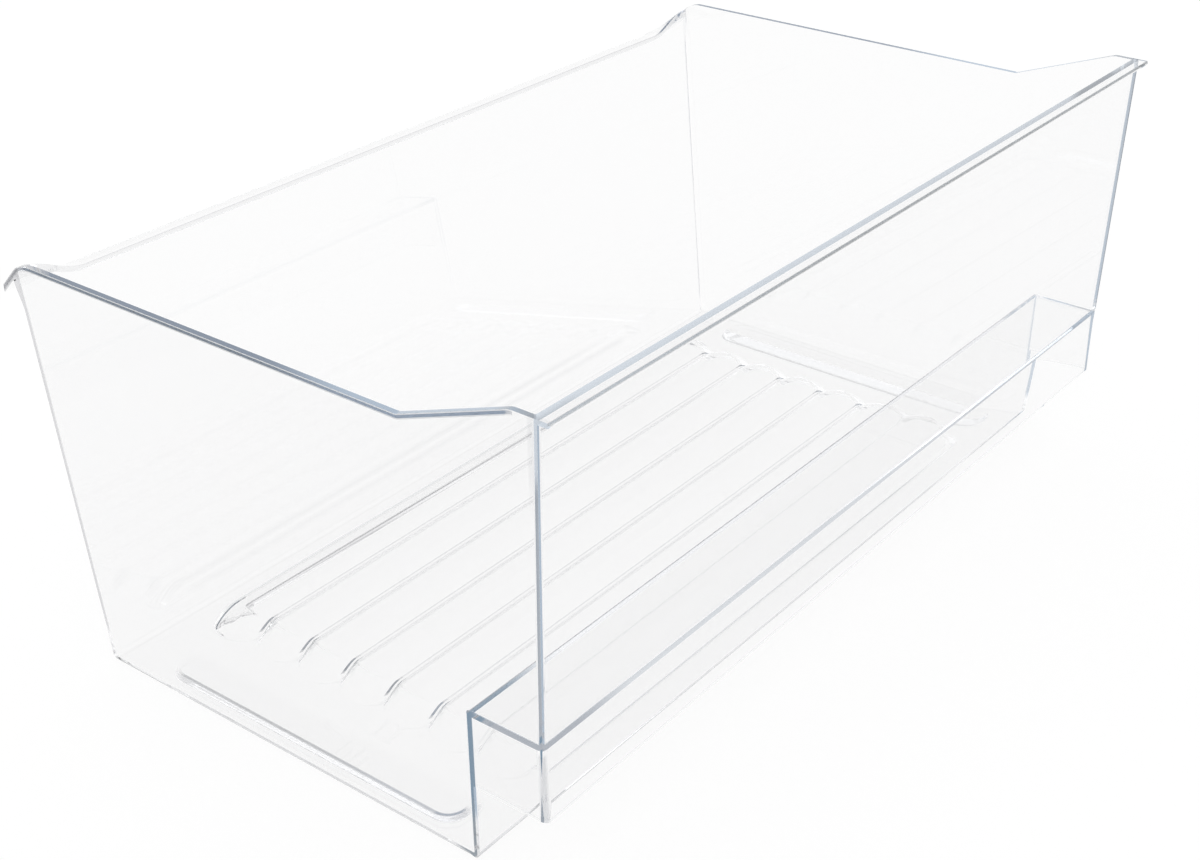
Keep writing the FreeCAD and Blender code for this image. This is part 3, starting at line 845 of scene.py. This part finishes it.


# The colour of the surface: white, with the painted shade lines of the mesh and four more by place, which
# show from outside only, and painted shade on the flange's nose
def surfaceColour(tree, x, y, z, out):
    fade, blend, limits = tree.fade, tree.blend, shadeLimits
    postShare = coloursAndShade["postTop"] / coloursAndShade["skirtCorner"]
    # Painted shade lines at the skirt's corners, the post tops, the ledge's front edge and up the right
    # front corner
    heights = tree.combine("ADD", fade(z, limits["skirtHead"], 1.0, 0.0),
                           fade(z, limits["postTop"], 0.0, postShare))
    corners = tree.product(fade(out, limits["corner"]),
                           fade(y, limits["cornerSkin"], coloursAndShade["skirtCorner"], 0.0), heights)
    frontSkin = fade(y, limits["frontSkin"], 1.0, 0.0)
    ledgeLine = tree.product(fade(x, limits["ledgeRight"], 0.0, coloursAndShade["ledge"]), frontSkin,
                             fade(z, limits["ledgeTop"], 1.0, 0.0), fade(z, limits["ledgeLow"]))
    rightLine = tree.product(fade(x, limits["right"], 0.0, coloursAndShade["right"]), frontSkin,
                             fade(out, limits["rightEdge"]), fade(z, limits["rightFoot"]))
    band = tree.nodes.new("ShaderNodeAttribute")
    band.attribute_name = "shadeLineStrength"
    shadeStrength = band.outputs["Fac"]
    for strength in (corners, ledgeLine, rightLine):
        shadeStrength = tree.combine("ADD", shadeStrength, strength, clamp=True)
    side = tree.nodes.new("ShaderNodeNewGeometry")
    shadeStrength = tree.combine("SUBTRACT", shadeStrength, side.outputs["Backfacing"], clamp=True)
    # The colour of every painted shade line: pale at the front, dark at the back
    line = blend(rimShadeLines["pale"], rimShadeLines["dark"], y, rimShadeLines["paleToDark"])
    base = blend(coloursAndShade["walls"], line, shadeStrength, (0, 1), unit=1.0)
    # Painted shade on the flange's nose, lighter at its left end
    noseColour = blend(coloursAndShade["noseEnd"], coloursAndShade["nose"], x, limits["noseEnd"])
    nose = blend(base, noseColour, z, limits["noseTop"])
    return blend(nose, base, y, limits["noseFront"])


clearFinish = {
    "ior": 1.55,
    "roughness": 0.0,
    "shine": 0.15,         # level of the mirror image on the walls, where 0.5 is that of glass
    "tint": (0.735, 0.735, 0.745, 1.0),
    "density": 38.0,
    "edgeTurns": 3.5,      # mirror turns inside the plastic before light counts as trapped and the painted glow is added
}


# Clear plastic: a smooth refractive surface over a faint blue-grey absorbing body, with painted shade lines
# in its colour and a painted glow for the light trapped inside it
def clearPlastic():
    material = bpy.data.materials.new("clearPlastic")
    material.use_nodes = True
    tree = NodeTree(material)
    nodes, links = tree.nodes, tree.links
    shader = nodes["Principled BSDF"]
    shader.inputs["Roughness"].default_value = clearFinish["roughness"]
    shader.inputs["IOR"].default_value = clearFinish["ior"]
    shader.inputs["Specular IOR Level"].default_value = clearFinish["shine"]
    shader.inputs["Transmission Weight"].default_value = 1.0
    coordinates = nodes.new("ShaderNodeTexCoord")
    axes = nodes.new("ShaderNodeSeparateXYZ")
    links.new(coordinates.outputs["Object"], axes.inputs[0])
    x, y, z = axes.outputs["X"], axes.outputs["Y"], axes.outputs["Z"]
    # How far out a place is: the distance from the middle plane, less the end walls' lean
    lean = (drawer["topWidth"] - drawer["footWidth"]) / drawer["frontHeight"] / 2
    out = tree.combine("MULTIPLY_ADD", z, -lean, tree.combine("ABSOLUTE", x))
    links.new(surfaceColour(tree, x, y, z, out), shader.inputs["Base Color"])
    # The painted glow: emission by place, switched on only after a ray's mirror turns inside the plastic
    links.new(paintedGlowColour(tree, x, y, z, out), shader.inputs["Emission Color"])
    path = nodes.new("ShaderNodeLightPath")
    trapped = tree.combine("GREATER_THAN", path.outputs["Glossy Depth"], clearFinish["edgeTurns"])
    links.new(trapped, shader.inputs["Emission Strength"])
    body = nodes.new("ShaderNodeVolumeAbsorption")
    body.inputs["Color"].default_value = clearFinish["tint"]
    body.inputs["Density"].default_value = clearFinish["density"]
    links.new(body.outputs["Volume"], nodes["Material Output"].inputs["Volume"])
    return material


studio = {
    "white": 1.0,          # strength of the white world
    "floorGlow": 0.93,     # strength of the floor's own white
    "floorColour": 0.08,   # how much of the light it gives back, which sets how dark the shadow is
    "floorSize": 12.0,     # half its side, in metres
    "floorDrop": 0.0005,   # how far it lies under the drawer
}


# White to the camera, in reflections and through the plastic, and an even soft light on the rest
def buildWorld():
    world = bpy.data.worlds.new("studio")
    bpy.context.scene.world = world
    world.use_nodes = True
    background = world.node_tree.nodes["Background"]
    background.inputs["Color"].default_value = (1, 1, 1, 1)
    background.inputs["Strength"].default_value = studio["white"]


# A large level square just under the drawer, nearly as white as the world
def buildFloor():
    size, z = studio["floorSize"], -studio["floorDrop"]
    mesh = bpy.data.meshes.new("floor")
    corners = [(-size, -size, z), (size, -size, z), (size, size, z), (-size, size, z)]
    mesh.from_pydata(corners, [], [(0, 1, 2, 3)])
    floor = bpy.data.objects.new("floor", mesh)
    bpy.context.scene.collection.objects.link(floor)
    material = bpy.data.materials.new("whiteFloor")
    material.use_nodes = True
    nodes, links = material.node_tree.nodes, material.node_tree.links
    shader = nodes["Principled BSDF"]
    shader.inputs["Base Color"].default_value = (studio["floorColour"],) * 3 + (1,)
    shader.inputs["Roughness"].default_value = 1.0
    shader.inputs["Specular IOR Level"].default_value = 0.0
    shader.inputs["Emission Color"].default_value = (1, 1, 1, 1)
    shader.inputs["Emission Strength"].default_value = studio["floorGlow"]
    mesh.materials.append(material)


view = {
    "place": (-0.62781, -0.462334, 0.48536),
    "azimuth": math.radians(52.675),
    "pitch": math.radians(28.957),
    "roll": math.radians(0.261),
    "lens": 55.59,
}


# The photograph's camera: its axis from the azimuth and pitch, then a small roll about it
def buildCamera():
    azimuth, pitch, roll = view["azimuth"], view["pitch"], view["roll"]
    level = math.cos(pitch)
    forward = Vector((math.sin(azimuth) * level, math.cos(azimuth) * level, -math.sin(pitch)))
    right = forward.cross(Vector((0, 0, 1))).normalized()
    up = right.cross(forward)
    right, up = right * math.cos(roll) + up * math.sin(roll), up * math.cos(roll) - right * math.sin(roll)
    data = bpy.data.cameras.new("camera")
    data.lens = view["lens"]
    data.sensor_width = 36.0
    data.sensor_fit = "HORIZONTAL"
    data.clip_end = 50.0
    camera = bpy.data.objects.new("camera", data)
    bpy.context.scene.collection.objects.link(camera)
    turn = Matrix((right, up, -forward)).transposed().to_4x4()
    camera.matrix_world = Matrix.Translation(view["place"]) @ turn
    bpy.context.scene.camera = camera


# Radii in millimetres of the roundings on the outer edges
edgeRound = {"largest": 3.0, "skirt": 3.0, "skirtInside": 1.5, "flange": 0.9, "small": 0.3}


# Small roundings on the sharp edges, and normals led by the larger faces so that flat walls stay flat
def finishShell(shell):
    mesh = shell.data
    points = np.empty(len(mesh.vertices) * 3)
    mesh.vertices.foreach_get("co", points)
    points = points.reshape(-1, 3) * 1000 + np.array([0, middleY, 0])
    edges = np.empty(len(mesh.edges) * 2, int)
    mesh.edges.foreach_get("vertices", edges)
    edges = edges.reshape(-1, 2)
    near = 0.01    # in millimetres
    x, y, z = np.abs(points[:, 0]), points[:, 1], points[:, 2]
    nose = (y < frontTip + near) & (z > drawer["frontHeight"] - drawer["flangeThickness"] - near)
    hanging = (z > drawer["skirtHeight"] - near) & (z < drawer["ledgeHeight"] + near)
    onEnd = np.abs(x - halfWidth(z)) < near
    onInnerEnd = np.abs(x - halfWidth(z, drawer["wall"])) < near
    outerCorner = onEnd & hanging & (np.abs(y - frontY(z)) < near)
    innerCorner = onInnerEnd & hanging & (np.abs(y - frontY(z) - drawer["wall"]) < near)
    weight = np.zeros(len(edges))
    upright = np.abs(z[edges[:, 0]] - z[edges[:, 1]]) > 1.0
    for chosen, radius in ((nose[edges].all(axis=1), edgeRound["flange"]),
                           (outerCorner[edges].all(axis=1) & upright, edgeRound["skirt"]),
                           (innerCorner[edges].all(axis=1) & upright, edgeRound["skirtInside"])):
        weight[chosen] = radius / edgeRound["largest"]
        print("rounded edges", int(chosen.sum()), radius)
    weights = mesh.attributes.new("bevel_weight_edge", "FLOAT", "EDGE")
    weights.data.foreach_set("value", weight.astype(np.float32))
    large = shell.modifiers.new("largeEdges", "BEVEL")
    large.width = edgeRound["largest"] / 1000
    large.segments = 5
    large.limit_method = "WEIGHT"
    large.use_clamp_overlap = True
    bevel = shell.modifiers.new("edges", "BEVEL")
    bevel.width = edgeRound["small"] / 1000
    bevel.segments = 2
    bevel.limit_method = "ANGLE"
    bevel.angle_limit = math.radians(35)
    bevel.use_clamp_overlap = True
    even = shell.modifiers.new("flatWalls", "WEIGHTED_NORMAL")
    even.mode = "FACE_AREA"
    even.weight = 100
    even.keep_sharp = True


buildCamera()
buildWorld()
buildFloor()
bpy.context.scene.view_settings.view_transform = "Standard"
print("camera, world and floor")
shell = buildShell()
finishShell(shell)
shell.data.materials.append(clearPlastic())
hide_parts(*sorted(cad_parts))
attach(shell, "root")
print("shell")
